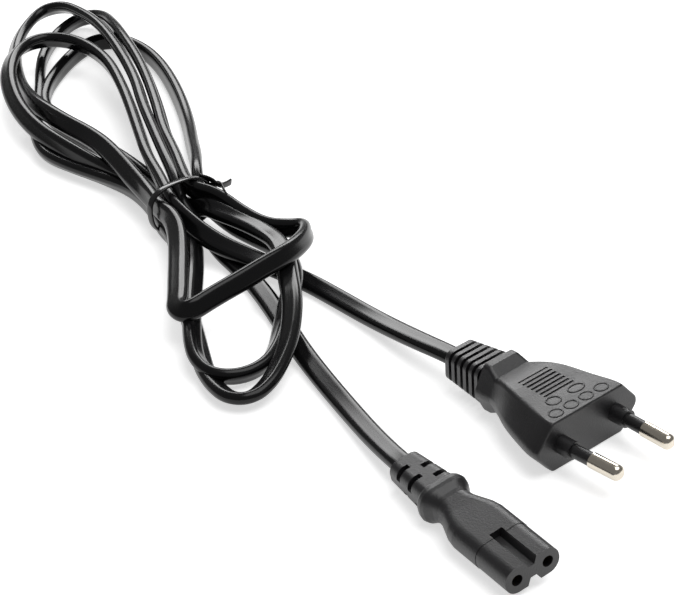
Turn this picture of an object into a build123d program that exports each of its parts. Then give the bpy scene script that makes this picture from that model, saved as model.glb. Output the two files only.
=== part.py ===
"""Two-pin mains cord: a flat two-core lead with a moulded two-pin plug on one end and a moulded
two-hole connector on the other, tied in a loose hank with a twist tie.

The origin is the centre of the plug's engagement face, between its two pins. +X runs out along
the pins, +Z is up, and the whole cord lies on the level FLOOR. All sizes are in millimetres."""

import os
from math import atan2, cos, degrees, pi, radians, sin, tan

from build123d import *

os.makedirs("parts", exist_ok=True)

# Flat two-core cord
CORD_WIDTH = 5.8
CORD_THICKNESS = 3.3
CORE_RADIUS = 1.05
CORE_LEAD_IN = 2.6
STRAND_RADIUS = 0.55
STRIPPED_GAP = 1.0
REST_GAP = 0.1

# Plug body: engagement face and grip
FACE_WIDTH = 35.3
FACE_HEIGHT = 13.7
FACE_BEVEL = 11.5
FACE_EDGE = 0.6
SIDE_CORNER = 2.4
TOP_CORNER = 1.6
NECK_X = -25.5
NECK_FLAT = 11.4
NECK_WIDTH = 16.6
NECK_HEIGHT = 10.2
RIDGE_X = -28.4
RIDGE_FLAT = 9.8
RIDGE_WIDTH = 17.0
FLANGE_X = -30.3

# Pins of the plug
PIN_SPACING_BASE = 18.6
PIN_SPACING_TIP = 17.5
PIN_LENGTH = 19.0
PIN_RADIUS = 2.0
PIN_SHANK_RADIUS = 1.35
PIN_BARE_LENGTH = 9.0
PIN_TIP_ROUND = 1.6
SLEEVE_RADIUS = 1.75
BOSS_RADIUS = 2.35
BOSS_LENGTH = 4.3

# Pin bridge inside the plug
BRIDGE_FRONT = -2.6
BRIDGE_LENGTH = 7.0
BRIDGE_WIDTH = 25.0
BRIDGE_HEIGHT = 7.6
PIN_COLLAR_RADIUS = 2.7
PIN_COLLAR_LENGTH = 1.6
CRIMP_RADIUS = 1.5
CRIMP_LENGTH = 5.0
CRIMP_WALL = 0.6
SEAT_DEPTH = 1.2

# Strain relief of the plug
RELIEF_X = -44.0
RELIEF_WIDTH = 10.2
RELIEF_HEIGHT = 8.4
RELIEF_ROOT_WIDTH = 12.8
RELIEF_ROOT_HEIGHT = 10.4
RELIEF_CORE_WIDTH = 7.4
RELIEF_CORE_HEIGHT = 5.4
RELIEF_GROOVE = 1.05
RELIEF_PITCH = 2.25
RELIEF_GROOVES = 6

# Grip ribs on the plug's flat top and bottom
GRIP_RIB_COUNT = 7
GRIP_RIB_PITCH = 1.45
GRIP_RIB_WIDTH = 0.7
GRIP_RIB_DEPTH = 0.3
GRIP_X = -14.0

# Connector: two lobes, two holes, pose on the table
HOLE_SPACING = 8.6
HOLE_RADIUS = 1.45
HOLE_DEPTH = 2.4
LOBE_WIDTH = 15.0
LOBE_HEIGHT = 7.0
LOBE_CORNER = 3.3
CHANNEL_TOP = 3.6
CHANNEL_ROOT = 1.6
CHANNEL_DEPTH = 1.9
CHANNEL_OVERRUN = 1.6
MATING_LENGTH = 11.4
STEP_RISE = 0.08
CONNECTOR_GRIP_X = -20.5
WAIST_X = -30.0
CONNECTOR_WAIST_WIDTH = 9.8
CONNECTOR_WAIST_HEIGHT = 7.4
COLLAR_WIDTH = 13.6
COLLAR_HEIGHT = 9.6
COLLAR_ROUND = 4.0
COLLAR_RIDGE_X = -34.2
COLLAR_BACK_X = -36.4
CONNECTOR_END_X = -50.0
CONNECTOR_RELIEF_ROOT_WIDTH = 10.4
CONNECTOR_RELIEF_ROOT_HEIGHT = 8.2
CONNECTOR_RELIEF_WIDTH = 8.8
CONNECTOR_RELIEF_HEIGHT = 6.6
SLOT_WIDTH = 1.6
SLOT_PITCH = 5.1
SLOT_START = 1.2
SLOT_CORE_WALL = 0.7
CONTACT_RADIUS = 1.7
CONTACT_BORE_RADIUS = 1.2
CONTACT_LENGTH = 13.0
CONTACT_SLIT = 0.5
CARRIER_TAIL = 4.0
CARRIER_WALL = 0.6
WEB_HEIGHT = 1.8
CONNECTOR_X = 28.2
CONNECTOR_Y = -47.5
CONNECTOR_YAW = -8.7
CONNECTOR_ROLL = 10.0

# Hank and twist tie
HANK_HEIGHT = 12.6
WAIST_CENTRE_X = -157.0
WAIST_CENTRE_Y = 1.1
WAIST_YAW = -8.0
WAIST_WIDTH = 17.4
WAIST_HEIGHT = 10.6
WAIST_LENGTH = 10.0
TIE_WIDTH = 2.4
TIE_THICKNESS = 0.8
TIE_CORNER = 4.5
TIE_STEM = 5.0
TIE_END = 5.5

# Values that follow from the sizes above
CRIMP_HOLLOW = CRIMP_LENGTH - CRIMP_WALL
FACE_FLAT = FACE_WIDTH - FACE_BEVEL
CARRIER_LENGTH = CONTACT_LENGTH + CARRIER_TAIL
CHANNEL_LENGTH = MATING_LENGTH + CHANNEL_OVERRUN
FLOOR = -FACE_HEIGHT / 2
PIN_TILT = degrees(atan2((PIN_SPACING_BASE - PIN_SPACING_TIP) / 2, PIN_LENGTH))
SHEATH_END_X = FLANGE_X + 2.0
CORE_OFFSET = CORE_RADIUS + 0.1
LYING = FLOOR + CORD_THICKNESS / 2 + REST_GAP
CORD_LEAN = (CORD_WIDTH - CORD_THICKNESS) / 2 * sin(radians(CONNECTOR_ROLL))
COLLAR_DROP = (
    COLLAR_ROUND
    + (COLLAR_HEIGHT / 2 - COLLAR_ROUND) * cos(radians(CONNECTOR_ROLL))
    + (COLLAR_WIDTH / 2 - COLLAR_ROUND) * sin(radians(CONNECTOR_ROLL))
)
CONNECTOR_Z = FLOOR + COLLAR_DROP
CONNECTOR_SHEATH_X = WAIST_X + 1.0

# The connector's own plane: its origin is the centre of the two-hole face and its X runs out of it
CONNECTOR_PLANE = Plane(Location((CONNECTOR_X, CONNECTOR_Y, CONNECTOR_Z), (0, 0, CONNECTOR_YAW)))
CONNECTOR_PLANE = Plane(CONNECTOR_PLANE.location * Location((0, 0, 0), (CONNECTOR_ROLL, 0, 0)))


def cross_plane(base, x):
    """The plane across a piece at x along its own X, with local x along Y and local y along Z."""
    return Plane(
        origin=base.from_local_coords(Vector(x, 0, 0)), x_dir=base.y_dir, z_dir=base.x_dir
    )


def hexagon(flat, width, height):
    """A six-sided face with flat top and bottom, its two side corners rounded most."""
    half = height / 2
    with BuildSketch() as outline:
        Polygon(
            (width / 2, 0), (flat / 2, half), (-flat / 2, half),
            (-width / 2, 0), (-flat / 2, -half), (flat / 2, -half),
            align=None,
        )
        corners = outline.vertices().sort_by(Axis.X)
        fillet([corners[0], corners[-1]], SIDE_CORNER)
        fillet(outline.vertices().filter_by(lambda v: abs(abs(v.Y) - half) < 0.01).filter_by(
            lambda v: abs(abs(v.X) - flat / 2) < 0.01), TOP_CORNER)
    return outline.sketch_local


# Plug, inside first: the two pins, each on its own slightly converging axis
def pin_plane(side):
    """The plane whose Z runs out along one pin, with its origin on the engagement face."""
    tilt = radians(PIN_TILT)
    axis = Vector(cos(tilt), -side * sin(tilt), 0)
    return Plane(origin=(0, side * PIN_SPACING_BASE / 2, 0), x_dir=(0, 0, 1), z_dir=axis)


def make_pin(side):
    """A turned pin: round nose, bare end, thin sleeved shank, collar in the bridge, crimp barrel."""
    base = pin_plane(side)
    collar_x = BRIDGE_FRONT - BRIDGE_LENGTH / 2
    back_x = BRIDGE_FRONT - BRIDGE_LENGTH
    with BuildPart() as pin:
        with BuildSketch(base.offset(PIN_LENGTH - PIN_BARE_LENGTH)):
            Circle(PIN_RADIUS)
        extrude(amount=PIN_BARE_LENGTH)
        fillet(pin.edges().group_by(lambda e: base.to_local_coords(e.center()).Z)[-1], PIN_TIP_ROUND)
        with BuildSketch(base.offset(back_x)):
            Circle(PIN_SHANK_RADIUS)
        extrude(amount=PIN_LENGTH - PIN_BARE_LENGTH - back_x)
        with BuildSketch(base.offset(collar_x - PIN_COLLAR_LENGTH / 2)):
            Circle(PIN_COLLAR_RADIUS)
        extrude(amount=PIN_COLLAR_LENGTH)
        with BuildSketch(base.offset(back_x - CRIMP_LENGTH)):
            Circle(CRIMP_RADIUS)
        extrude(amount=CRIMP_LENGTH + SEAT_DEPTH)
        with BuildSketch(base.offset(back_x - CRIMP_LENGTH)):
            Circle(STRAND_RADIUS)
        extrude(amount=CRIMP_HOLLOW, mode=Mode.SUBTRACT)
    return pin


pin_left = make_pin(1)
pin_right = make_pin(-1)


def make_sleeve(side):
    """The thin moulded sleeve on a pin's shank, from the bridge to the bare end."""
    base = pin_plane(side)
    with BuildPart() as sleeve:
        with BuildSketch(base.offset(BRIDGE_FRONT - SEAT_DEPTH)):
            Circle(SLEEVE_RADIUS)
            Circle(PIN_SHANK_RADIUS, mode=Mode.SUBTRACT)
        extrude(amount=PIN_LENGTH - PIN_BARE_LENGTH - BRIDGE_FRONT + SEAT_DEPTH)
    return sleeve


sleeve_left = make_sleeve(1)
sleeve_right = make_sleeve(-1)

# The stiff bridge that holds both pins at their spacing
with BuildPart() as pin_bridge:
    with BuildSketch(Plane.YZ.offset(BRIDGE_FRONT - BRIDGE_LENGTH)):
        SlotOverall(BRIDGE_WIDTH, BRIDGE_HEIGHT)
    extrude(amount=BRIDGE_LENGTH)
    with BuildSketch(Plane.YZ.offset(BRIDGE_FRONT - BRIDGE_LENGTH)):
        Rectangle(PIN_SPACING_BASE / 3, BRIDGE_HEIGHT / 2)
    extrude(amount=BRIDGE_LENGTH / 3, mode=Mode.SUBTRACT)
    for piece in (pin_left, pin_right, sleeve_left, sleeve_right):
        add(piece.part, mode=Mode.SUBTRACT)


def arc_radii(points):
    """The largest arc that fits each corner of a route: 0.45 of its shorter run over the tangent
    of half the turn."""
    radii = []
    for before, here, after in zip(points, points[1:], points[2:]):
        run_in = here - before
        run_out = after - here
        half_turn = radians(run_in.get_angle(run_out)) / 2
        radii.append(0.45 * min(run_in.length, run_out.length) / tan(half_turn))
    return radii


def insulated_core(start, start_way, end, end_way):
    """One insulated core: straight out of the sheath, across, and straight into its barrel."""
    points = [start, start + start_way * CORE_LEAD_IN, end - end_way * CORE_LEAD_IN, end]
    with BuildLine() as line:
        FilletPolyline(*points, radius=arc_radii(points))
    with BuildPart() as core:
        with BuildSketch(Plane(origin=start, z_dir=start_way)):
            Circle(CORE_RADIUS)
        sweep(path=line.wires()[0])
    return core


def make_core(side):
    """One insulated core inside the plug, from the end of the sheath to its crimp barrel."""
    crimp_back = BRIDGE_FRONT - BRIDGE_LENGTH - CRIMP_LENGTH
    start = Vector(SHEATH_END_X, side * CORE_OFFSET, 0)
    end = pin_plane(side).from_local_coords(Vector(0, 0, crimp_back - STRIPPED_GAP))
    return insulated_core(start, Vector(1, 0, 0), end, pin_plane(side).z_dir)


core_brown = make_core(1)
core_blue = make_core(-1)


def make_strands(side):
    """The bare copper strands of one core, from its cut insulation into the crimp barrel."""
    crimp_back = BRIDGE_FRONT - BRIDGE_LENGTH - CRIMP_LENGTH
    with BuildPart() as strands:
        with BuildSketch(pin_plane(side).offset(crimp_back - STRIPPED_GAP)):
            Circle(STRAND_RADIUS)
        extrude(amount=CRIMP_HOLLOW + STRIPPED_GAP)
    return strands


strands_left = make_strands(1)
strands_right = make_strands(-1)

# The cord between plug and hank: points on its centre line, from inside the plug on
PLUG_LEAD = [
    (SHEATH_END_X, 0, 0),
    (RELIEF_X - 1, 0, 0),
    (-62, 0.9, -1.8),
    (-79, 3.0, -4.2),
    (-96, 4.6, LYING),
    (-112, 4.9, LYING),
    (-127, 3.6, -4.7),
    (-140, 2.8, -4.1),
    (-150, 3.6, -3.8),
]

# The cord between hank and connector, from inside the connector on
LEAD_START = CONNECTOR_PLANE.from_local_coords(Vector(CONNECTOR_SHEATH_X, 0, 0))
LEAD_BEND = CONNECTOR_PLANE.from_local_coords(Vector(CONNECTOR_END_X + 2, 0, 0))
CONNECTOR_LEAD = [
    tuple(LEAD_START),
    tuple(LEAD_BEND),
    (-36, -35.5, -3.6),
    (-53, -29.8, LYING + CORD_LEAN),
    (-70, -25, LYING + CORD_LEAN),
    (-88, -19.2, LYING + CORD_LEAN),
    (-105, -12.5, LYING + CORD_LEAN),
    (-122, -7.8, -4.6),
    (-137, -6, -3.9),
    (-150, -5, -3.5),
]


SECTION_AREA = (CORD_WIDTH - CORD_THICKNESS) * CORD_THICKNESS + pi * (CORD_THICKNESS / 2) ** 2


def make_lead(points, base):
    """A stretch of cord along straight runs and tangent arcs, its first run inside a moulding."""
    points = [Vector(*point) for point in points]
    with BuildLine() as line:
        FilletPolyline(*points, radius=arc_radii(points))
    path = line.wires()[0]
    with BuildPart() as lead:
        with BuildSketch(Plane(origin=points[0], x_dir=base.y_dir, z_dir=-base.x_dir)):
            SlotOverall(CORD_WIDTH, CORD_THICKNESS)
        sweep(path=path)
    print("lead length in mm:", round(path.length), "arc radii:", [round(r) for r in arc_radii(points)])
    print("its volume over section times length:", round(lead.part.volume / (SECTION_AREA * path.length), 3))
    return lead


lead_plug = make_lead(PLUG_LEAD, Plane.XY)
lead_connector = make_lead(CONNECTOR_LEAD, CONNECTOR_PLANE)

# Plug body: one moulding with the grip, the flange and the ribbed strain relief
BODY_SECTIONS = [
    (0, FACE_FLAT, FACE_WIDTH, FACE_HEIGHT),
    (-6.5, FACE_FLAT - 1.8, FACE_WIDTH - 1.2, FACE_HEIGHT),
    (-13, FACE_FLAT - 4.6, FACE_WIDTH - 6.2, FACE_HEIGHT),
    (-19, FACE_FLAT - 7.8, FACE_WIDTH - 12.4, FACE_HEIGHT - 0.3),
    (-22.5, NECK_FLAT + 2.0, NECK_WIDTH + 2.0, NECK_HEIGHT + 1.9),
    (NECK_X, NECK_FLAT, NECK_WIDTH, NECK_HEIGHT),
]
with BuildPart() as plug_body:
    for x, flat, width, height in BODY_SECTIONS:
        with BuildSketch(Plane.YZ.offset(x)):
            add(hexagon(flat, width, height))
    loft()
    fillet(plug_body.faces().sort_by(Axis.X)[-1].edges(), FACE_EDGE)
    for start, end in (
        ((NECK_X, NECK_FLAT, NECK_WIDTH, NECK_HEIGHT), (RIDGE_X, RIDGE_FLAT, RIDGE_WIDTH, FACE_HEIGHT)),
        ((RIDGE_X, RIDGE_FLAT, RIDGE_WIDTH, FACE_HEIGHT), (FLANGE_X, RIDGE_FLAT, RIDGE_WIDTH, FACE_HEIGHT)),
    ):
        for x, flat, width, height in (start, end):
            with BuildSketch(Plane.YZ.offset(x)):
                add(hexagon(flat, width, height))
        loft(ruled=True)
    with BuildSketch(Plane.YZ.offset(FLANGE_X)):
        RectangleRounded(RELIEF_ROOT_WIDTH, RELIEF_ROOT_HEIGHT, 2.2)
    with BuildSketch(Plane.YZ.offset(RELIEF_X)):
        RectangleRounded(RELIEF_WIDTH, RELIEF_HEIGHT, 2.2)
    loft(ruled=True)
    with BuildSketch(Plane.YZ.offset(RELIEF_X)):
        Rectangle(2 * FACE_WIDTH, FACE_HEIGHT)
    extrude(amount=-RELIEF_X, mode=Mode.INTERSECT)
    for groove in range(RELIEF_GROOVES):
        with BuildSketch(Plane.YZ.offset(FLANGE_X - groove * RELIEF_PITCH)):
            Rectangle(2 * RELIEF_ROOT_WIDTH, 2 * RELIEF_ROOT_HEIGHT)
            RectangleRounded(RELIEF_CORE_WIDTH, RELIEF_CORE_HEIGHT, 1.5, mode=Mode.SUBTRACT)
        extrude(amount=-RELIEF_GROOVE, mode=Mode.SUBTRACT)
    with BuildSketch(Plane.YZ):
        with GridLocations(PIN_SPACING_BASE, 1, 2, 1):
            Circle(BOSS_RADIUS)
    extrude(amount=BOSS_LENGTH)
    for level, direction in ((FACE_HEIGHT / 2, -1), (-FACE_HEIGHT / 2, 1)):
        with BuildSketch(Plane.XY.offset(level)):
            with Locations((GRIP_X, 0)):
                with GridLocations(GRIP_RIB_PITCH, 1, GRIP_RIB_COUNT, 1):
                    Rectangle(GRIP_RIB_WIDTH, FACE_FLAT / 2.4)
        extrude(amount=direction * GRIP_RIB_DEPTH, mode=Mode.SUBTRACT)
    for piece in (
        pin_left, pin_right, sleeve_left, sleeve_right, pin_bridge,
        core_brown, core_blue, strands_left, strands_right, lead_plug,
    ):
        add(piece.part, mode=Mode.SUBTRACT)


# Connector, inside first: contacts, carrier and cores, all in the connector's own plane
def make_contact(side):
    """A rolled spring sleeve with a slit along its front, and a crimp barrel at its back."""
    y = side * HOLE_SPACING / 2
    with BuildPart() as contact:
        with BuildSketch(cross_plane(CONNECTOR_PLANE, -HOLE_DEPTH - CONTACT_LENGTH)):
            with Locations((y, 0)):
                Circle(CONTACT_RADIUS)
        extrude(amount=CONTACT_LENGTH)
        with BuildSketch(cross_plane(CONNECTOR_PLANE, -HOLE_DEPTH)):
            with Locations((y, 0)):
                Circle(CONTACT_BORE_RADIUS)
        extrude(amount=-(CONTACT_LENGTH - 2), mode=Mode.SUBTRACT)
        with BuildSketch(cross_plane(CONNECTOR_PLANE, -HOLE_DEPTH)):
            with Locations((y, CONTACT_RADIUS)):
                Rectangle(CONTACT_SLIT, 2 * (CONTACT_RADIUS - CONTACT_BORE_RADIUS) + 0.6)
        extrude(amount=-CONTACT_LENGTH / 2, mode=Mode.SUBTRACT)
        with BuildSketch(cross_plane(CONNECTOR_PLANE, -HOLE_DEPTH - CONTACT_LENGTH - CRIMP_LENGTH / 2)):
            with Locations((y, 0)):
                Circle(CRIMP_RADIUS)
                Circle(STRAND_RADIUS, mode=Mode.SUBTRACT)
        extrude(amount=CRIMP_LENGTH / 2)
    return contact


contact_left = make_contact(1)
contact_right = make_contact(-1)

CRIMP_BACK_X = -HOLE_DEPTH - CONTACT_LENGTH - CRIMP_LENGTH / 2

# The stiff carrier: two barrels and a web that hold the contacts at their spacing
with BuildPart() as contact_carrier:
    with BuildSketch(cross_plane(CONNECTOR_PLANE, -HOLE_DEPTH)):
        with GridLocations(HOLE_SPACING, 1, 2, 1):
            Circle(CONTACT_RADIUS + CARRIER_WALL)
        Rectangle(HOLE_SPACING, WEB_HEIGHT)
    extrude(amount=-CARRIER_LENGTH)
    with BuildSketch(cross_plane(CONNECTOR_PLANE, -HOLE_DEPTH)):
        with GridLocations(HOLE_SPACING, 1, 2, 1):
            Circle(CONTACT_RADIUS)
    extrude(amount=-CONTACT_LENGTH, mode=Mode.SUBTRACT)
    with BuildSketch(cross_plane(CONNECTOR_PLANE, -HOLE_DEPTH - CONTACT_LENGTH)):
        with GridLocations(HOLE_SPACING, 1, 2, 1):
            Circle(CRIMP_RADIUS)
    extrude(amount=-CARRIER_LENGTH, mode=Mode.SUBTRACT)


def make_connector_core(side):
    """One insulated core inside the connector, from the end of the sheath to its crimp barrel."""
    start = CONNECTOR_PLANE.from_local_coords(Vector(CONNECTOR_SHEATH_X, side * CORE_OFFSET, 0))
    end = CONNECTOR_PLANE.from_local_coords(Vector(CRIMP_BACK_X - STRIPPED_GAP, side * HOLE_SPACING / 2, 0))
    return insulated_core(start, CONNECTOR_PLANE.x_dir, end, CONNECTOR_PLANE.x_dir)


connector_core_brown = make_connector_core(1)
connector_core_blue = make_connector_core(-1)


def make_connector_strands(side):
    """The bare copper strands of one core, from its cut insulation into the crimp barrel."""
    with BuildPart() as strands:
        with BuildSketch(cross_plane(CONNECTOR_PLANE, CRIMP_BACK_X - STRIPPED_GAP)):
            with Locations((side * HOLE_SPACING / 2, 0)):
                Circle(STRAND_RADIUS)
        extrude(amount=CRIMP_LENGTH / 2 + STRIPPED_GAP)
    return strands


connector_strands_left = make_connector_strands(1)
connector_strands_right = make_connector_strands(-1)

# Connector body: one moulding with the two-lobed nose, the grip, the collar and the strain relief
GRIP_WIDTH = LOBE_WIDTH + 2 * STEP_RISE
GRIP_HEIGHT = LOBE_HEIGHT + 2 * STEP_RISE
CONNECTOR_SECTIONS = [
    (CONNECTOR_GRIP_X, GRIP_WIDTH, GRIP_HEIGHT),
    (-23.0, GRIP_WIDTH - 0.9, GRIP_HEIGHT),
    (-25.5, GRIP_WIDTH - 2.8, GRIP_HEIGHT),
    (-28.0, CONNECTOR_WAIST_WIDTH + 0.6, CONNECTOR_WAIST_HEIGHT - 0.1),
    (WAIST_X, CONNECTOR_WAIST_WIDTH, CONNECTOR_WAIST_HEIGHT),
]
COLLAR_SECTIONS = [
    (WAIST_X, CONNECTOR_WAIST_WIDTH, CONNECTOR_WAIST_HEIGHT),
    (-31.2, CONNECTOR_WAIST_WIDTH + 0.6, CONNECTOR_WAIST_HEIGHT + 0.4),
    (-32.2, COLLAR_WIDTH - 1.8, COLLAR_HEIGHT - 1.0),
    (-33.1, COLLAR_WIDTH - 0.5, COLLAR_HEIGHT - 0.3),
    (COLLAR_RIDGE_X, COLLAR_WIDTH, COLLAR_HEIGHT),
    (-35.3, COLLAR_WIDTH - 0.3, COLLAR_HEIGHT - 0.2),
    (-36.0, COLLAR_WIDTH - 0.9, COLLAR_HEIGHT - 0.6),
    (COLLAR_BACK_X, COLLAR_WIDTH - 2.0, COLLAR_HEIGHT - 1.2),
]
RELIEF_SECTIONS = [
    (COLLAR_BACK_X, CONNECTOR_RELIEF_ROOT_WIDTH, CONNECTOR_RELIEF_ROOT_HEIGHT),
    (CONNECTOR_END_X, CONNECTOR_RELIEF_WIDTH, CONNECTOR_RELIEF_HEIGHT),
]
with BuildPart() as connector_body:
    with BuildSketch(cross_plane(CONNECTOR_PLANE, 0)):
        RectangleRounded(LOBE_WIDTH, LOBE_HEIGHT, LOBE_CORNER)
    extrude(amount=-MATING_LENGTH)
    with BuildSketch(cross_plane(CONNECTOR_PLANE, -MATING_LENGTH)):
        RectangleRounded(GRIP_WIDTH, GRIP_HEIGHT, LOBE_CORNER)
    extrude(amount=-(-CONNECTOR_GRIP_X - MATING_LENGTH))
    for x, width, height in CONNECTOR_SECTIONS:
        with BuildSketch(cross_plane(CONNECTOR_PLANE, x)):
            RectangleRounded(width, height, LOBE_CORNER)
    loft(ruled=True)
    for first, last in zip(COLLAR_SECTIONS, COLLAR_SECTIONS[1:]):
        for x, width, height in (first, last):
            with BuildSketch(cross_plane(CONNECTOR_PLANE, x)):
                RectangleRounded(width, height, LOBE_CORNER if x > -32 else COLLAR_ROUND)
        loft(ruled=True)
    for x, width, height in RELIEF_SECTIONS:
        with BuildSketch(cross_plane(CONNECTOR_PLANE, x)):
            RectangleRounded(width, height, 2.6)
    loft(ruled=True)
    for up in (1, -1):
        with BuildSketch(cross_plane(CONNECTOR_PLANE, 0)):
            with BuildLine():
                Polyline(
                    (-CHANNEL_TOP / 2, up * LOBE_HEIGHT / 2),
                    (-CHANNEL_ROOT / 2, up * (LOBE_HEIGHT / 2 - CHANNEL_DEPTH)),
                    (CHANNEL_ROOT / 2, up * (LOBE_HEIGHT / 2 - CHANNEL_DEPTH)),
                    (CHANNEL_TOP / 2, up * LOBE_HEIGHT / 2),
                    (CHANNEL_TOP / 2, up * LOBE_HEIGHT),
                    (-CHANNEL_TOP / 2, up * LOBE_HEIGHT),
                    close=True,
                )
            make_face()
        extrude(amount=-CHANNEL_LENGTH, mode=Mode.SUBTRACT)
    for row in range(2):
        for side, up in ((1, 1), (-1, 1), (1, -1), (-1, -1)):
            stagger = 0 if side == up else SLOT_PITCH / 2
            with BuildSketch(cross_plane(CONNECTOR_PLANE, COLLAR_BACK_X - SLOT_START - row * SLOT_PITCH - stagger)):
                with Locations((side * (CORD_WIDTH + 1), up * (CORD_THICKNESS + 1))):
                    Rectangle(2 * CORD_WIDTH, 2 * CORD_THICKNESS)
                SlotOverall(
                    CORD_WIDTH + 2 * SLOT_CORE_WALL, CORD_THICKNESS + 2 * SLOT_CORE_WALL, mode=Mode.SUBTRACT
                )
            extrude(amount=-SLOT_WIDTH, mode=Mode.SUBTRACT)
    with BuildSketch(cross_plane(CONNECTOR_PLANE, 0)):
        with GridLocations(HOLE_SPACING, 1, 2, 1):
            Circle(HOLE_RADIUS)
    extrude(amount=-HOLE_DEPTH, mode=Mode.SUBTRACT)
    with BuildSketch(cross_plane(CONNECTOR_PLANE, -HOLE_DEPTH)):
        with GridLocations(HOLE_SPACING, 1, 2, 1):
            Circle(CONTACT_RADIUS)
    extrude(amount=-CONTACT_LENGTH, mode=Mode.SUBTRACT)
    for piece in (
        contact_left, contact_right, contact_carrier, connector_core_brown, connector_core_blue,
        connector_strands_left, connector_strands_right, lead_connector,
    ):
        add(piece.part, mode=Mode.SUBTRACT)

# Hank: the outer shape of the tied loops, with their open middles and the waist that is tied
WAIST_Z = FLOOR + TIE_THICKNESS + REST_GAP + WAIST_HEIGHT / 2
WAIST_PLANE = Plane(Location((WAIST_CENTRE_X, WAIST_CENTRE_Y, WAIST_Z), (0, 0, WAIST_YAW)))


def waist_corner(along, across):
    """A point of the waist's outline, seen from above."""
    corner = WAIST_PLANE.from_local_coords(Vector(along * WAIST_LENGTH / 2, across * WAIST_WIDTH / 2, 0))
    return (corner.X, corner.Y)


UPPER_LOBE = [
    waist_corner(-0.8, 1), (-170, 19), (-188, 32), (-209, 46), (-233, 57), (-257, 64), (-278, 66.5),
    (-290, 61), (-293, 49), (-284, 33), (-268, 19), (-251, 8.5), (-226, -1), (-203, -4), (-183, -3),
    waist_corner(-0.8, -1),
]
UPPER_OPENING = [
    (-194, 14.5), (-222, 30.5), (-238, 36.5), (-250, 38), (-248, 27), (-238, 16), (-223, 14), (-207, 12.5),
]
LOWER_LOBE = [
    waist_corner(0.8, -1), (-146, -12), (-133, -22), (-117, -34), (-102, -43), (-88, -49), (-77, -50.5),
    (-70, -45), (-72, -34), (-82, -21), (-97, -5), (-106, 6), (-113, 12), (-123, 14), (-137, 12),
    waist_corner(0.8, 1),
]
LOWER_OPENING = [
    (-134, -10), (-121, -20), (-107, -31), (-95, -39), (-88, -36), (-90, -26), (-97, -16), (-107, -7),
    (-120, -4.5),
]


def lobe_outline(points, opening):
    """One lobe of the hank seen from above: a closed curve with its opening."""
    with BuildSketch() as outline:
        with BuildLine():
            Spline(*points)
            Line(points[-1], points[0])
        make_face()
        with BuildLine():
            Spline(*opening, periodic=True)
        make_face(mode=Mode.SUBTRACT)
    return outline.sketch_local


with BuildPart() as cord_hank:
    with BuildSketch(Plane.XY.offset(FLOOR)):
        add(lobe_outline(UPPER_LOBE, UPPER_OPENING))
        add(lobe_outline(LOWER_LOBE, LOWER_OPENING))
    extrude(amount=HANK_HEIGHT)
    with BuildSketch(cross_plane(WAIST_PLANE, -WAIST_LENGTH / 2)):
        RectangleRounded(WAIST_WIDTH, WAIST_HEIGHT, TIE_CORNER)
    extrude(amount=WAIST_LENGTH)
    for piece in (lead_plug, lead_connector):
        add(piece.part, mode=Mode.SUBTRACT)

# Twist tie: a flat coated wire round the waist, its two ends twisted together and spread
with BuildPart() as twist_tie:
    with BuildSketch(cross_plane(WAIST_PLANE, -TIE_WIDTH / 2)):
        RectangleRounded(
            WAIST_WIDTH + 2 * TIE_THICKNESS, WAIST_HEIGHT + 2 * TIE_THICKNESS, TIE_CORNER + TIE_THICKNESS
        )
        RectangleRounded(WAIST_WIDTH, WAIST_HEIGHT, TIE_CORNER, mode=Mode.SUBTRACT)
    extrude(amount=TIE_WIDTH)
    stem_root = WAIST_PLANE.from_local_coords(Vector(0, WAIST_WIDTH / 2 + TIE_THICKNESS / 2, 0))
    stem_way = Vector(0.6, 0.8, 0)
    with BuildSketch(Plane(origin=stem_root, x_dir=(0, 0, 1), z_dir=stem_way)):
        RectangleRounded(TIE_WIDTH, 2 * TIE_THICKNESS, TIE_THICKNESS * 0.9)
    extrude(amount=TIE_STEM)
    for spread in (25, -25):
        end_way = stem_way.rotate(Axis.Z, spread)
        with BuildSketch(Plane(origin=stem_root + stem_way * (TIE_STEM - 0.5), x_dir=(0, 0, 1), z_dir=end_way)):
            Rectangle(TIE_WIDTH, TIE_THICKNESS)
        extrude(amount=TIE_END)

NODES = {
    "plug_body": plug_body,
    "pin_bridge": pin_bridge,
    "plug_pin_left": pin_left,
    "plug_pin_right": pin_right,
    "pin_sleeve_left": sleeve_left,
    "pin_sleeve_right": sleeve_right,
    "plug_core_brown": core_brown,
    "plug_core_blue": core_blue,
    "plug_strands_left": strands_left,
    "plug_strands_right": strands_right,
    "connector_body": connector_body,
    "contact_carrier": contact_carrier,
    "contact_left": contact_left,
    "contact_right": contact_right,
    "connector_core_brown": connector_core_brown,
    "connector_core_blue": connector_core_blue,
    "connector_strands_left": connector_strands_left,
    "connector_strands_right": connector_strands_right,
    "cord_plug_lead": lead_plug,
    "cord_connector_lead": lead_connector,
    "cord_hank": cord_hank,
    "twist_tie": twist_tie,
}
for node, piece in NODES.items():
    piece.part.label = node
    export_step(piece.part, f"parts/{node}.step")
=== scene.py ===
# %% [markdown]
# # A flat mains lead, dressed for its portrait
# The part comes in as a finished CAD model: a flat two-pin plug, a two-hole appliance connector, and
# plain solids that hold the room of the lead and its hank. This notebook keeps the two mouldings, gives
# every node its real finish, and replaces the plain solids by the flexible lead and its twist tie.

# %% Load the frame
import math

import bpy
import numpy as np
from mathutils import Matrix, Vector


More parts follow.
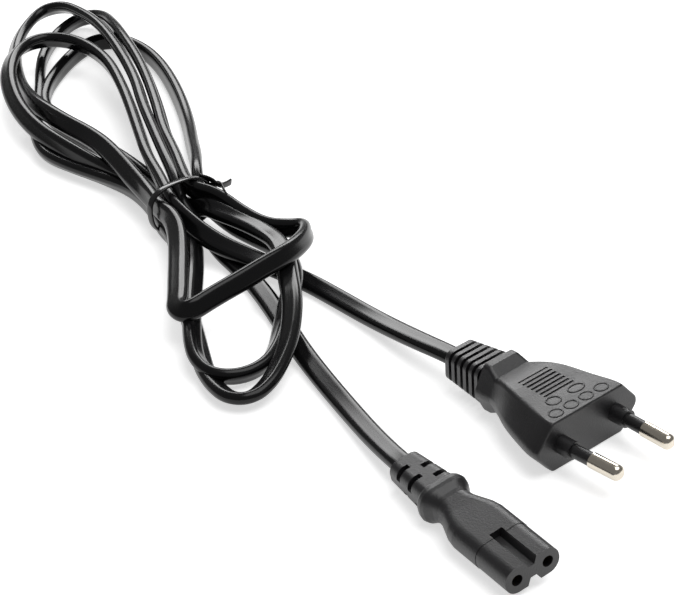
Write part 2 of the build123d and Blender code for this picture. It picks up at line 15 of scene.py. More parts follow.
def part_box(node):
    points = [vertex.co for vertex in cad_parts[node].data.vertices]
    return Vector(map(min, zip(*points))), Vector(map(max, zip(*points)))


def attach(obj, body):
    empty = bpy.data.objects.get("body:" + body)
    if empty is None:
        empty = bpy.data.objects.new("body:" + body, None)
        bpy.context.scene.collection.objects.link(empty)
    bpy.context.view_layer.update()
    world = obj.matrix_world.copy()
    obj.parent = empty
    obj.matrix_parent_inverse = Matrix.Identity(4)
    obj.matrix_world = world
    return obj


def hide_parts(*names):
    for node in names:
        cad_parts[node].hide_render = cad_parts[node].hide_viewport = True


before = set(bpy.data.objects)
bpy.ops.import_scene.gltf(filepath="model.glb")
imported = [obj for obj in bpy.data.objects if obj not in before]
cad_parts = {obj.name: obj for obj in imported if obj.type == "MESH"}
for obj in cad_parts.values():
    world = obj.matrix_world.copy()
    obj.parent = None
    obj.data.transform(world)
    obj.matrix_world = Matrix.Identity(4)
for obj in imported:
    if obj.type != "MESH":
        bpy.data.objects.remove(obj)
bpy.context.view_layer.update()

MM = 0.001
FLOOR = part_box("plug_body")[0][2]
print("floor level in metres:", round(FLOOR, 5))

# %% [markdown]
# ## Helpers for colours, nodes and meshes
# A maker picks colours as sRGB hex values, while Blender's shaders want linear light, so one function
# turns the first into the second. One more adds a shader node with its settings and links, and a third
# turns whole numpy arrays into a mesh, because a surface is easiest to think of as a grid of points.

# %% Colour and node helpers
def colour(hex_value):
    """sRGB hex to linear RGBA: below 0.04045 a straight line, above it a power of 2.4."""
    parts = [int(hex_value[i:i + 2], 16) / 255 for i in (1, 3, 5)]
    linear = [c / 12.92 if c <= 0.04045 else ((c + 0.055) / 1.055) ** 2.4 for c in parts]
    return (*linear, 1.0)


def add_node(tree, kind, settings=None, inputs=None, links=None):
    """Adds one shader node, sets its properties and input values, and links other outputs into it."""
    node = tree.nodes.new(kind)
    for name, value in (settings or {}).items():
        setattr(node, name, value)
    for name, value in (inputs or {}).items():
        node.inputs[name].default_value = value
    for name, output in (links or {}).items():
        tree.links.new(output, node.inputs[name])
    return node


def new_material(name):
    """An empty node material with its output and its main shader, which the caller sets up."""
    material = bpy.data.materials.new(name)
    material.use_nodes = True
    tree = material.node_tree
    tree.nodes.clear()
    shader = tree.nodes.new("ShaderNodeBsdfPrincipled")
    output = tree.nodes.new("ShaderNodeOutputMaterial")
    tree.links.new(shader.outputs["BSDF"], output.inputs["Surface"])
    return material, tree, shader


def grid_mesh(name, points, closed_u=False, closed_v=True, cap_ends=False, uv=None):
    """A mesh from an array of rings, shape (rings, points, 3), joined ring to ring by quads."""
    rings, count, _ = points.shape
    u = np.arange(rings if closed_u else rings - 1)
    v = np.arange(count if closed_v else count - 1)
    uu, vv = np.meshgrid(u, v, indexing="ij")
    next_u = (uu + 1) % rings
    next_v = (vv + 1) % count
    corners = [(uu, vv), (next_u, vv), (next_u, next_v), (uu, next_v)]
    faces = np.stack([a * count + b for a, b in corners], axis=-1).reshape(-1, 4).tolist()
    quads = len(faces)
    if cap_ends:
        faces.append(list(range(count)))
        faces.append([(rings - 1) * count + i for i in reversed(range(count))])
    mesh = bpy.data.meshes.new(name)
    mesh.from_pydata(points.reshape(-1, 3).tolist(), [], faces)
    if uv is not None:
        layer = mesh.uv_layers.new(name="along")
        along, around = uv
        table = np.stack([
            np.stack([along[np.minimum(uu + du, rings - 1)], around[vv] + dv / count], axis=-1)
            for du, dv in ((0, 0), (1, 0), (1, 1), (0, 1))
        ], axis=2).reshape(-1, 2)
        flat = np.zeros((len(mesh.loops), 2))
        flat[:quads * 4] = table
        layer.data.foreach_set("uv", flat.ravel())
    mesh.shade_smooth()
    mesh.validate()
    piece = bpy.data.objects.new(name, mesh)
    bpy.context.collection.objects.link(piece)
    return piece


# %% [markdown]
# ## The route of the lead
# The lead leaves the plug, dives under the lower loops, goes eight times through the twist tie on its
# way round four upper loops and three lower ones, and ends in the connector. Each row holds x and y in
# millimetres as seen from above, the height over the table, and the turn of the flat section in
# degrees: 0 and -180 lie flat, and -90 stands on edge. The line passes near these points and not
# through them. A flat lead bends easily only across its thin side, so it stands nearly on edge in its
# loops and lies almost flat where it is straight.

# %% The route
PLUG_END = [
    (-28.3, 0, 6.85, 0), (-45, 0, 6.85, 0), (-62, 0.5, 5.0, -8), (-79, 2.4, 2.6, -12), (-95, 3.4, 2.0, -14),
    (-106, 3.5, 2.0, -14), (-115, 1.0, 3.2, -14), (-123, -2.0, 5.0, -18), (-132, -4.3, 6.0, -25),
    (-140, -5.1, 7.2, -45), (-149, -4.2, 8.5, -72), (-157, -2.4, 9.7, -90),
]
FIRST_UPPER_LOOP = [
    (-166, 2.2, 9.9, -95), (-180.9, 8.8, 10, -108), (-194.9, 16.6, 10, -109), (-208.5, 24.3, 10, -109),
    (-222.3, 31.6, 10, -108), (-237, 38.3, 10, -108), (-250, 41.2, 10, -112), (-262, 39.9, 10, -116),
    (-268.7, 33, 10, -125), (-266.6, 23.4, 10, -138), (-259.1, 15.3, 9.6, -142), (-250, 9.1, 9, -138),
    (-237.9, 3.5, 8.2, -130), (-224.5, -0.1, 7.6, -122), (-211, -0.9, 7, -112), (-197, 0.4, 5.4, -102),
    (-184, 2.6, 3.6, -95), (-171, 1.6, 3.1, -90), (-157, -2.4, 3.1, -90),
]
FIRST_LOWER_LOOP = [
    (-150.5, -3.2, 3.1, -78), (-143, -5.4, 3.2, -62), (-136.6, -10.6, 4.2, -52),
    (-127.6, -17.8, 5.8, -50), (-117.6, -26.6, 6.1, -50), (-107.4, -35.2, 6, -50),
    (-100, -40.9, 5.2, -50), (-94, -44.2, 4.2, -50), (-87.4, -44.6, 3.3, -52), (-82.6, -40.3, 3, -56),
    (-81.5, -33.1, 3.1, -60), (-85.1, -25.6, 3.8, -56), (-91, -18.5, 5, -42), (-97.3, -10.9, 5.6, -25),
    (-104.6, -2.6, 5.8, -12), (-113.3, 3.4, 5.8, -5), (-122.8, 7.7, 3.8, -8), (-133, 9, 2.6, -30),
    (-145, 8.4, 3, -70), (-157, 8.3, 6, -90),
]
SECOND_UPPER_LOOP = [
    (-164.4, 13.2, 9, -88), (-174.4, 20.8, 7.5, -78), (-186, 28.5, 5, -74), (-198, 36.8, 3.4, -74),
    (-211, 44.6, 3, -74), (-225, 51.8, 3, -78), (-238.2, 57.3, 3, -88), (-249.5, 60, 3, -98),
    (-260.9, 59.3, 3, -104), (-266, 53.6, 2.9, -100), (-264, 44.5, 2.9, -96), (-258.5, 34, 2.9, -94),
    (-250.8, 23.1, 2.9, -94), (-242.2, 15.7, 2.9, -94), (-230.2, 11.3, 3, -94), (-215, 10.8, 3, -92),
    (-201, 11.2, 3, -90), (-187, 9.8, 3, -90), (-174, 7.6, 3, -90), (-164, 5.6, 3.1, -90),
    (-157, 5.0, 4.4, -88),
]
SECOND_LOWER_LOOP = [
    (-151, 5.4, 7.4, -120), (-144.5, 5, 8.2, -160), (-136, 6.3, 7.8, -178), (-127.5, 6.6, 7.8, -180),
    (-119.5, 5, 8.6, -180), (-111, 0.2, 9.1, -178), (-102.3, -6.2, 9.1, -168), (-94.3, -11.8, 8.8, -156),
    (-87.5, -17.9, 7.8, -152), (-81.8, -24.2, 6.4, -150), (-77.4, -30.7, 5.2, -149),
    (-73.8, -37.6, 3.9, -148), (-73, -44, 2.9, -148), (-77, -47.6, 2.6, -148), (-84, -46.8, 2.5, -148),
    (-91.5, -44, 2.5, -148), (-98.6, -39.8, 2.4, -150), (-106.6, -35, 2.3, -153),
    (-114.6, -30.2, 2.2, -155), (-125, -23.6, 2.2, -155), (-137, -15.4, 2.3, -148),
    (-148, -8.4, 2.7, -115), (-157, -6, 3.1, -90),
]
THIRD_UPPER_LOOP = [
    (-168, -0.8, 3, -95), (-180.4, 1.5, 3, -115), (-192.4, -0.1, 3, -132), (-204.4, -2.4, 3, -136),
    (-215.3, -3.2, 2.9, -125), (-224.9, 0.4, 2.9, -100), (-232.3, 5.5, 2.9, -92),
    (-240.8, 12.7, 2.9, -88), (-250.4, 20.4, 2.9, -88), (-259.8, 27.1, 2.9, -82),
    (-268.7, 34.4, 2.9, -78), (-276.4, 43.7, 2.9, -72), (-282.3, 54.3, 2.9, -62), (-283, 62.2, 3.2, -55),
    (-274.3, 64.1, 5.4, -55), (-260, 58.1, 8.2, -64), (-248.1, 52.8, 9.2, -72), (-232.8, 46.3, 9.4, -72),
    (-217.6, 38.4, 9.6, -72), (-203.6, 30.4, 9.8, -72), (-190.2, 22.1, 9.8, -72),
    (-176.6, 15.6, 9.8, -74), (-165.4, 9.2, 10, -82), (-157, 4.8, 10.6, -90),
]
FRONT_LOOP = [
    (-149.5, 8.6, 9.6, -88), (-138.6, 8.9, 7.6, -85), (-130, 9.8, 6.9, -85), (-124.6, 13.2, 7.2, -84),
    (-119.5, 15, 8.8, -80), (-113.2, 9.8, 10.8, -72), (-109.2, 3.6, 12.2, -62), (-106.6, -3, 13.2, -59),
    (-106.2, -10.5, 13, -59), (-106.2, -18.5, 12.2, -59), (-106.7, -27.5, 11.2, -60),
    (-106.8, -36.5, 10, -60), (-111.6, -36.7, 9.4, -30), (-116.1, -32.5, 9.4, -22),
    (-123.5, -26.5, 9.4, -22), (-132, -19.5, 9.4, -22), (-141, -12.5, 9.6, -30), (-149, -8, 9.6, -50),
    (-157, -6, 8.8, -85),
]
FOURTH_UPPER_LOOP = [
    (-167.3, -2.6, 8.4, -65), (-177.2, -0.2, 9, -48), (-187.7, 2.6, 9.6, -45), (-197.5, 4.9, 9.8, -45),
    (-206.7, 5.9, 9.6, -50), (-215.9, 6, 9.4, -58), (-226.5, 6.8, 9.2, -68), (-238, 9.2, 8, -72),
    (-249.5, 13.6, 6, -68), (-260.5, 19.2, 4.4, -62), (-271, 25.5, 3.8, -58), (-280.5, 32.6, 3.8, -55),
    (-287.8, 41, 4.4, -50), (-292, 51, 6.2, -44), (-285.4, 56.6, 8.4, -38), (-272.7, 55.6, 9.6, -40),
    (-261.3, 53.1, 10.2, -50), (-248.6, 48.4, 10.4, -62), (-235, 42.6, 10.4, -70),
    (-221, 35.9, 10.4, -74), (-207.3, 27.8, 10.3, -72), (-193.4, 20.6, 10.2, -72),
    (-180.4, 13.9, 10, -74), (-168.5, 8, 9.6, -80), (-161, 3.8, 8.4, -86), (-156, 1.4, 6, -90),
]
CONNECTOR_END = [
    (-150.5, 0.8, 3.4, -88), (-143.2, -0.6, 2.9, -55), (-134.6, -2.6, 1.95, -10), (-125.2, -4.4, 1.9, 0),
    (-115.4, -7, 1.95, 8), (-105.2, -10.6, 2.0, 12), (-94.2, -15.1, 2.0, 14), (-81.3, -20.4, 2.0, 14),
    (-67.5, -25.2, 2.0, 14), (-53, -29.8, 2.1, 14), (-36, -35.5, 3.3, 12), (-19.2, -40.2, 5.27, 10),
    (-0.5, -43.1, 5.27, 10),
]
ROUTE = np.array(
    PLUG_END + FIRST_UPPER_LOOP + FIRST_LOWER_LOOP + SECOND_UPPER_LOOP + SECOND_LOWER_LOOP
    + THIRD_UPPER_LOOP + FRONT_LOOP + FOURTH_UPPER_LOOP + CONNECTOR_END, float
)
print("route points:", len(ROUTE))

# %% [markdown]
# ## From route to centre line
# A NURBS curve takes the points as its control points and runs smoothly past them, as a lead does.
# Blender works the curve out, and the mesh that it gives for a curve without a bevel is a row of
# points along it. The turn of the section goes through a second curve of the same kind, so that it
# changes as smoothly as the line.

# %% Read the centre line
# Blender works out this many points for each control point.
ROUTE_STEPS = 10


def smooth_line(values, name):
    """Points along the NURBS spline of order 3 that has the given rows as its control points."""
    curve = bpy.data.curves.new(name, "CURVE")
    curve.dimensions = "3D"
    spline = curve.splines.new("NURBS")
    spline.points.add(len(values) - 1)
    spline.points.foreach_set("co", np.c_[values, np.ones(len(values))].ravel())
    spline.order_u = 3
    spline.use_endpoint_u = True
    spline.resolution_u = ROUTE_STEPS
    holder = bpy.data.objects.new(name, curve)
    mesh = bpy.data.meshes.new_from_object(holder)
    line = np.zeros(len(mesh.vertices) * 3)
    mesh.vertices.foreach_get("co", line)
    bpy.data.objects.remove(holder)
    bpy.data.curves.remove(curve)
    bpy.data.meshes.remove(mesh)
    return line.reshape(-1, 3)


def on_table(points_mm):
    """Millimetres over the table to metres in the shared frame."""
    return np.array(points_mm, float) * MM + np.array([0, 0, FLOOR])


places = on_table(ROUTE[:, :3])
centre_line = smooth_line(places, "lead_route")
turns = smooth_line(np.c_[ROUTE[:, 3], np.zeros((len(ROUTE), 2))], "lead_turn")[:, 0]
steps = np.linalg.norm(np.diff(centre_line, axis=0), axis=1)
arc_length = np.concatenate([[0], np.cumsum(steps)])
print("lead length in metres:", round(float(arc_length[-1]), 3), "rings:", len(centre_line))

# %% [markdown]
# ## The flat lead
# The real lead is two cores side by side in one sheath, 5.8 mm wide and 3.3 mm thick, with round edges
# and a shallow groove between the cores. Its section is worked out once and carried along the centre
# line. The section's flat side starts level and turns by the angle from the route.

# %% Section and sweep
LEAD_WIDTH = 5.8 * MM
LEAD_THICKNESS = 3.3 * MM
LEAD_GROOVE = 0.16 * MM
GROOVE_REACH = 0.45 * MM
LEAD_SIDES = 36
EDGE_SHARPNESS = 3


def lead_section(count):
    """Flat oval: a circle pulled apart sideways, less a bell-shaped dip in the middle of both faces.

    The sideways shift is EDGE_SHARPNESS times the cosine and stops at 1, so that it is whole over
    most of both ends, and they stay almost round.
    """
    angle = 2 * np.pi * np.arange(count) / count
    radius = LEAD_THICKNESS / 2
    spread = (LEAD_WIDTH - LEAD_THICKNESS) / 2
    across = radius * np.cos(angle) + spread * np.clip(EDGE_SHARPNESS * np.cos(angle), -1, 1)
    dip = LEAD_GROOVE * np.exp(-(across / GROOVE_REACH) ** 2)
    up = (radius - dip) * np.sin(angle)
    return across, up


def frames_along(line):
    """Level side and upward normal at each point: up cross tangent, then tangent cross side."""
    tangent = np.gradient(line, axis=0)
    tangent /= np.linalg.norm(tangent, axis=1, keepdims=True)
    side = np.cross([0, 0, 1], tangent)
    side /= np.linalg.norm(side, axis=1, keepdims=True)
    return side, np.cross(tangent, side)


def sweep(line, turn_degrees, section):
    """Each ring is centre + across * wide axis + up * thin axis, both turned about the tangent."""
    side, normal = frames_along(line)
    turn = np.radians(turn_degrees)[:, None]
    wide = np.cos(turn) * side + np.sin(turn) * normal
    thin = np.cos(turn) * normal - np.sin(turn) * side
    across, up = section
    return line[:, None] + wide[:, None] * across[:, None] + thin[:, None] * up[:, None]


rings = sweep(centre_line, turns, lead_section(LEAD_SIDES))
lead = grid_mesh(
    "flat_lead", rings[:, ::-1], cap_ends=True, uv=(arc_length, np.arange(LEAD_SIDES) / LEAD_SIDES)
)
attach(lead, "root")
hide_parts("cord_plug_lead", "cord_connector_lead", "cord_hank")
print("lead faces:", len(lead.data.polygons))

# %% [markdown]
# ## The twist tie
# A flat plastic ribbon with a wire in it goes once round the bundle where the lead passes eight times,
# and is twisted shut on the far side. The loop is a squarish oval that leans a little, and the
# ribbon's section is carried round it.

# %% Twist tie
RIBBON_WIDTH = 2.2 * MM
RIBBON_THICKNESS = 0.7 * MM
RIBBON_ENDS = 0.35
RIBBON_FACES = 0.6
TIE_CENTRE = on_table([-156.6, 1.0, 7.35])
TIE_HALF_WIDTH = 10.0 * MM
TIE_HALF_HEIGHT = 6.9 * MM
TIE_POWER = 2 / 2.6
TIE_LEAN = 0.12
TIE_SKEW = 0.10


def bulge(values, power):
    """Raises the size of each value to a power and keeps its sign, which squares off a circle."""
    return np.sign(values) * np.abs(values) ** power


def ribbon_section(width, thickness, count=16):
    """A flat oval with almost square ends: half width times a power of cosine, and so for sine."""
    angle = 2 * np.pi * np.arange(count) / count
    across = width / 2 * bulge(np.cos(angle), RIBBON_ENDS)
    up = thickness / 2 * bulge(np.sin(angle), RIBBON_FACES)
    return across, up


def tie_loop(count=96):
    """A squarish oval across the bundle, a superellipse of power 2.6 that leans back at its top."""
    angle = 2 * np.pi * np.arange(count) / count
    y = TIE_HALF_WIDTH * bulge(np.cos(angle), TIE_POWER)
    z = TIE_HALF_HEIGHT * bulge(np.sin(angle), TIE_POWER)
    x = -TIE_LEAN * z + TIE_SKEW * y
    return TIE_CENTRE + np.stack([x, y, z], axis=1)


def sweep_ribbon(line, flat_way, section, closed):
    """Carries a ribbon's section along a line with its wide side along a given direction."""
    if closed:
        tangent = np.roll(line, -1, axis=0) - np.roll(line, 1, axis=0)
    else:
        tangent = np.gradient(line, axis=0)
    tangent /= np.linalg.norm(tangent, axis=1, keepdims=True)
    out = np.cross(tangent, flat_way)
    out /= np.linalg.norm(out, axis=1, keepdims=True)
    wide = np.cross(out, tangent)
    across, up = section
    return line[:, None] + wide[:, None] * across[:, None] + out[:, None] * up[:, None]


ribbon = ribbon_section(RIBBON_WIDTH, RIBBON_THICKNESS)
loop_rings = sweep_ribbon(tie_loop(), np.array([1.0, 0, TIE_LEAN]), ribbon, closed=True)
tie = grid_mesh("twist_tie_loop", loop_rings, closed_u=True)
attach(tie, "root")
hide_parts("twist_tie")

# %% Ends of the twist tie
# The two ends cross behind the bundle and stand off it. Each row is x, y and the height over the table
# in millimetres, and TAIL_WAY is the direction of the ribbon's wide side.
TAIL_WAY = np.array([0.3, -0.4, 1.0])
TAIL_ROUTES = {
    "twist_tie_upper_end": [
        (-157.6, 9.0, 12.8), (-154.8, 11.0, 12.2), (-151.6, 10.6, 11.5), (-150.6, 12.4, 11.2),
        (-151.0, 14.7, 11.2),
    ],
    "twist_tie_lower_end": [
        (-156.0, 11.2, 8.8), (-154.6, 10.4, 10.4), (-151.8, 11.8, 11.8), (-148.6, 10.2, 11.4),
        (-145.6, 9.0, 11.0),
    ],
}
tails = []
for tail_name, tail_points in TAIL_ROUTES.items():
    tail_line = smooth_line(on_table(tail_points), tail_name)
    tail_rings = sweep_ribbon(tail_line, TAIL_WAY, ribbon, closed=False)
    tail = grid_mesh(tail_name, tail_rings, cap_ends=True)
    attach(tail, "root")
    tails.append(tail)
print("tie ends:", len(tails))

# %% [markdown]
# ## Raised marks on the plug
# A moulded plug has small raised marks on its flat top. Here they are plain oval rings: two by the grip
# and four in a row near the face. The plug is as high over the frame's middle plane as the table is
# below it. Each ring is given by its centre and its two half widths in millimetres.

# %% Raised marks
PLUG_TOP = -FLOOR
BEAD_RISE = 0.16 * MM
BEAD_HALF_WIDTH = 1.6 * BEAD_RISE
BEAD_SIDES = 8
ROW_START = -8.0
ROW_PITCH = 5.17
MARK_RINGS = [(-7.0, -4.6, 1.6, 2.0), (-7.0, 3.1, 1.4, 2.4)]
MARK_RINGS += [(-2.9, ROW_START + ROW_PITCH * step, 1.5, 1.9) for step in range(4)]


def raised_ring(name, x_mm, y_mm, half_x_mm, half_y_mm, count=48):
    """A small bead that runs round an ellipse: cosine along x, sine along y, half sunk in the top."""
    angle = 2 * np.pi * np.arange(count) / count
    x = (x_mm + half_x_mm * np.cos(angle)) * MM
    y = (y_mm + half_y_mm * np.sin(angle)) * MM
    path = np.stack([x, y, np.full(count, PLUG_TOP)], axis=1)
    around = 2 * np.pi * np.arange(BEAD_SIDES) / BEAD_SIDES
    bead = (BEAD_RISE * np.sin(around), BEAD_HALF_WIDTH * np.cos(around))
    bead_rings = sweep_ribbon(path, np.array([0, 0, 1.0]), bead, closed=True)
    return grid_mesh(name, bead_rings, closed_u=True)


marks = []
for number, (x_mm, y_mm, half_x_mm, half_y_mm) in enumerate(MARK_RINGS, start=1):
    mark = raised_ring(f"plug_mark_{number}", x_mm, y_mm, half_x_mm, half_y_mm)
    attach(mark, "root")
    marks.append(mark)
print("raised marks:", len(marks))

# %% [markdown]
# ## Finishes
# The mouldings are soft PVC with the fine matt grain of a spark-eroded mould, which gives the eye a
# dull black with a broad soft sheen. The lead's sheath is the same plastic drawn through a smooth die,
# so its highlights are narrow and bright on a deeper black. The pins are nickel-plated brass.

# %% Moulded PVC
# A spark-eroded grain is about 0.1 mm wide, too fine to show here, so it is drawn 0.5 mm wide.
PVC_IOR = 1.53
MOULDING_SHINE = 0.6
GRAIN_WIDTH = 0.5 * MM
GRAIN_DEPTH = 0.08 * MM
GRAIN_STRENGTH = 0.6
DRIFT_WIDTH = 9 * MM
DRIFT_DOWN = 0.06
DRIFT_UP = 0.08


def moulded_pvc(name, hex_value, roughness):
    """Soft black PVC: a fine grain in the bump and a slow drift in the gloss."""
    material, tree, shader = new_material(name)
    place = add_node(tree, "ShaderNodeTexCoord")
    grain = add_node(
        tree, "ShaderNodeTexNoise", inputs={"Scale": 1 / GRAIN_WIDTH, "Detail": 2.0},
        links={"Vector": place.outputs["Object"]},
    )
    drift = add_node(
        tree, "ShaderNodeTexNoise", inputs={"Scale": 1 / DRIFT_WIDTH, "Detail": 3.0},
        links={"Vector": place.outputs["Object"]},
    )
    gloss = add_node(
        tree, "ShaderNodeMapRange",
        inputs={"To Min": roughness - DRIFT_DOWN, "To Max": roughness + DRIFT_UP},
        links={"Value": drift.outputs["Fac"]},
    )
    bump = add_node(
        tree, "ShaderNodeBump", inputs={"Strength": GRAIN_STRENGTH, "Distance": GRAIN_DEPTH},
        links={"Height": grain.outputs["Fac"]},
    )
    shader.inputs["Base Color"].default_value = colour(hex_value)
    shader.inputs["IOR"].default_value = PVC_IOR
    shader.inputs["Specular IOR Level"].default_value = MOULDING_SHINE
    tree.links.new(gloss.outputs["Result"], shader.inputs["Roughness"])
    tree.links.new(bump.outputs["Normal"], shader.inputs["Normal"])
    return material


moulding = moulded_pvc("moulded_soft_pvc", "#1a191b", 0.4)

# %% Sheath of the lead
# The UV map runs in metres along the lead and from 0 to 1 round it. The lines are therefore 25 mm long,
# and 30 of them, each about half a millimetre wide, go round.
SHEATH_SHINE = 0.26
SHEATH_SMOOTHEST = 0.16
SHEATH_ROUGHEST = 0.24
LINES_PER_METRE = 40.0
LINES_ROUND = 30.0
LINE_DEPTH = 0.04 * MM
LINE_STRENGTH = 0.2


def drawn_pvc(name, hex_value):
    """The lead's smooth sheath: a clear gloss with faint die lines along its length."""
    material, tree, shader = new_material(name)
    place = add_node(tree, "ShaderNodeTexCoord")
    stretch = add_node(
        tree, "ShaderNodeMapping", inputs={"Scale": (LINES_PER_METRE, LINES_ROUND, 1.0)},
        links={"Vector": place.outputs["UV"]},
    )
    lines = add_node(
        tree, "ShaderNodeTexNoise", inputs={"Scale": 1.0, "Detail": 2.0},
        links={"Vector": stretch.outputs["Vector"]},
    )
    gloss = add_node(
        tree, "ShaderNodeMapRange", inputs={"To Min": SHEATH_SMOOTHEST, "To Max": SHEATH_ROUGHEST},
        links={"Value": lines.outputs["Fac"]},
    )
    bump = add_node(
        tree, "ShaderNodeBump", inputs={"Strength": LINE_STRENGTH, "Distance": LINE_DEPTH},
        links={"Height": lines.outputs["Fac"]},
    )
    shader.inputs["Base Color"].default_value = colour(hex_value)
    shader.inputs["IOR"].default_value = PVC_IOR
    shader.inputs["Specular IOR Level"].default_value = SHEATH_SHINE
    tree.links.new(gloss.outputs["Result"], shader.inputs["Roughness"])
    tree.links.new(bump.outputs["Normal"], shader.inputs["Normal"])
    return material


sheath = drawn_pvc("drawn_pvc_sheath", "#111112")
lead.data.materials.append(sheath)

# %% Plain finishes of the small pieces
# Nickel plating is a warm white mirror, a little dulled by handling. The pin sleeves are a plain satin
# black, and the ribbon is a shiny black film.
# Inside the mouldings lie a stiff cream plastic, rolled brass, bare copper and the two core colours.
WEAR_WIDTH = 2.0 * MM
WEAR_LOW = 0.7
WEAR_HIGH = 1.3


def plain_finish(name, hex_value, roughness, metallic=0.0):
    """One colour with a slow change in its gloss over a few millimetres."""
    material, tree, shader = new_material(name)
    place = add_node(tree, "ShaderNodeTexCoord")
    wear = add_node(
        tree, "ShaderNodeTexNoise", inputs={"Scale": 1 / WEAR_WIDTH, "Detail": 4.0},
        links={"Vector": place.outputs["Object"]},
    )
    gloss = add_node(
        tree, "ShaderNodeMapRange",
        inputs={"To Min": roughness * WEAR_LOW, "To Max": roughness * WEAR_HIGH},
        links={"Value": wear.outputs["Fac"]},
    )
    shader.inputs["Base Color"].default_value = colour(hex_value)
    shader.inputs["Metallic"].default_value = metallic
    tree.links.new(gloss.outputs["Result"], shader.inputs["Roughness"])
    return material


nickel = plain_finish("nickel_plating", "#d8d0c2", 0.2, metallic=1.0)
sleeve_plastic = plain_finish("pin_sleeve_plastic", "#201f20", 0.35)
ribbon_plastic = plain_finish("tie_ribbon_pvc", "#151415", 0.18)
stiff_plastic = plain_finish("glass_filled_plastic", "#c9c3b2", 0.5)
brass = plain_finish("rolled_brass", "#c9a25c", 0.3, metallic=1.0)
copper = plain_finish("stranded_copper", "#c9764a", 0.35, metallic=1.0)
brown_core = plain_finish("brown_core_pvc", "#5b3a22", 0.4)
blue_core = plain_finish("blue_core_pvc", "#2b5d9c", 0.4)
for piece in [tie, *tails]:
    piece.data.materials.append(ribbon_plastic)
for mark in marks:
    mark.data.materials.append(moulding)

# %% A finish for every node
FINISH_OF_NODE = {
    "plug_body": moulding, "connector_body": moulding,
    "plug_pin_left": nickel, "plug_pin_right": nickel,
    "pin_sleeve_left": sleeve_plastic, "pin_sleeve_right": sleeve_plastic,
    "pin_bridge": stiff_plastic, "contact_carrier": stiff_plastic,
    "contact_left": brass, "contact_right": brass,
    "plug_core_brown": brown_core, "connector_core_brown": brown_core,
    "plug_core_blue": blue_core, "connector_core_blue": blue_core,
    "plug_strands_left": copper, "plug_strands_right": copper,
    "connector_strands_left": copper, "connector_strands_right": copper,
}
for node_name, finish in FINISH_OF_NODE.items():
    node_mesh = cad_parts[node_name].data
    node_mesh.materials.clear()
    node_mesh.materials.append(finish)
print("nodes with a finish:", len(FINISH_OF_NODE))

# %% [markdown]
# ## Floor, light and camera
# The photograph was taken over a white table with soft light from above and behind. The floor's
# material is pale, and shows a little brighter to the camera, so that the background reads as white
# while the soft shadows stay.

# %% Floor
FLOOR_GLOW = 0.6
FLOOR_SIZE = 6.0
FLOOR_DROP = 0.05 * MM


def pale_floor():
    """Matt white board: camera, mirror and see-through rays also see a faint glow, so it stays white."""
    material, tree, shader = new_material("pale_board")
    rays = add_node(tree, "ShaderNodeLightPath")
    seen = add_node(
        tree, "ShaderNodeMath", settings={"operation": "MAXIMUM"},
        links={0: rays.outputs["Is Camera Ray"], 1: rays.outputs["Is Glossy Ray"]},
    )
    through = add_node(
        tree, "ShaderNodeMath", settings={"operation": "MAXIMUM"},
        links={0: seen.outputs["Value"], 1: rays.outputs["Is Transmission Ray"]},
    )
    glow = add_node(
        tree, "ShaderNodeMath", settings={"operation": "MULTIPLY"}, inputs={1: FLOOR_GLOW},
        links={0: through.outputs["Value"]},
    )
    shader.inputs["Base Color"].default_value = colour("#f4f4f4")
    shader.inputs["Roughness"].default_value = 0.9
    shader.inputs["Emission Color"].default_value = colour("#ffffff")
    tree.links.new(glow.outputs["Value"], shader.inputs["Emission Strength"])
    return material


bpy.ops.mesh.primitive_plane_add(size=FLOOR_SIZE, location=(0, 0, FLOOR - FLOOR_DROP))
floor = bpy.context.object
floor.name = "floor"
floor.data.materials.append(pale_floor())

# %% Where the camera looks
# The camera stands ahead of the pins, on the connector's side, and looks back over the hank.
VIEW_AZIMUTH = math.radians(50.1)
VIEW_ELEVATION = math.radians(31.3)
VIEW_ROLL = math.radians(-3.5)
VIEW_DISTANCE = 0.6885
VIEW_TARGET = Vector((-0.0956, 0.0044, FLOOR + 0.0012))
VIEW_WAY = Vector((
    -math.sin(VIEW_AZIMUTH) * math.cos(VIEW_ELEVATION),
    math.cos(VIEW_AZIMUTH) * math.cos(VIEW_ELEVATION),
    -math.sin(VIEW_ELEVATION),
))
level_view = Vector((VIEW_WAY.x, VIEW_WAY.y, 0)).normalized()
level_right = Vector((math.cos(VIEW_AZIMUTH), math.sin(VIEW_AZIMUTH), 0))

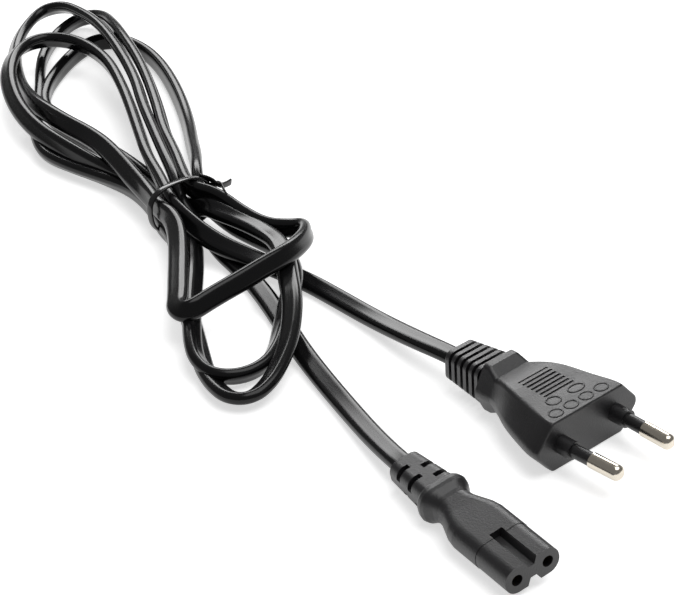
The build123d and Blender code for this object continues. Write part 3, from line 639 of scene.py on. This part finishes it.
# %% Light
# One wide softbox stands behind the lead as the camera sees it, and one hangs above. Places and sizes
# are in metres.
WORLD_STRENGTH = 0.2
HANK_CENTRE = Vector((-0.12, 0.0, FLOOR))
BACK_PLACE = HANK_CENTRE + level_view * 1.3 + Vector((0, 0, 0.72))
BACK_SIZE = (1.2, 0.45)
BACK_WATTS = 11
TOP_PLACE = HANK_CENTRE + Vector((0.3, 0.3, 1.4))
TOP_SIZE = (1.2, 1.2)
TOP_WATTS = 12

world = bpy.data.worlds.new("studio")
bpy.context.scene.world = world
world.use_nodes = True
background = world.node_tree.nodes["Background"]
background.inputs["Color"].default_value = colour("#ffffff")
background.inputs["Strength"].default_value = WORLD_STRENGTH


def softbox(name, place, size, watts):
    """A rectangular area lamp at a place, turned to face the hank."""
    lamp_data = bpy.data.lights.new(name, "AREA")
    lamp_data.shape = "RECTANGLE"
    lamp_data.size, lamp_data.size_y = size
    lamp_data.energy = watts
    lamp = bpy.data.objects.new(name, lamp_data)
    lamp.location = place
    lamp.rotation_euler = (HANK_CENTRE - place).to_track_quat("-Z", "Y").to_euler()
    bpy.context.collection.objects.link(lamp)


softbox("back_softbox", BACK_PLACE, BACK_SIZE, BACK_WATTS)
softbox("top_softbox", TOP_PLACE, TOP_SIZE, TOP_WATTS)

# %% Camera
SENSOR_WIDTH = 36.0
IMAGE_WIDTH = 674
LENS_IN_PIXELS = 2600

camera_data = bpy.data.cameras.new("portrait_camera")
camera_data.sensor_width = SENSOR_WIDTH
camera_data.lens = LENS_IN_PIXELS / IMAGE_WIDTH * SENSOR_WIDTH
camera = bpy.data.objects.new("portrait_camera", camera_data)
bpy.context.collection.objects.link(camera)
level_up = level_right.cross(VIEW_WAY)
right = level_right * math.cos(VIEW_ROLL) + level_up * math.sin(VIEW_ROLL)
up = level_up * math.cos(VIEW_ROLL) - level_right * math.sin(VIEW_ROLL)
turn_matrix = Matrix((right, up, -VIEW_WAY)).transposed().to_4x4()
camera.matrix_world = Matrix.Translation(VIEW_TARGET - VIEW_WAY * VIEW_DISTANCE) @ turn_matrix
bpy.context.scene.camera = camera
bpy.context.scene.view_settings.view_transform = "Standard"
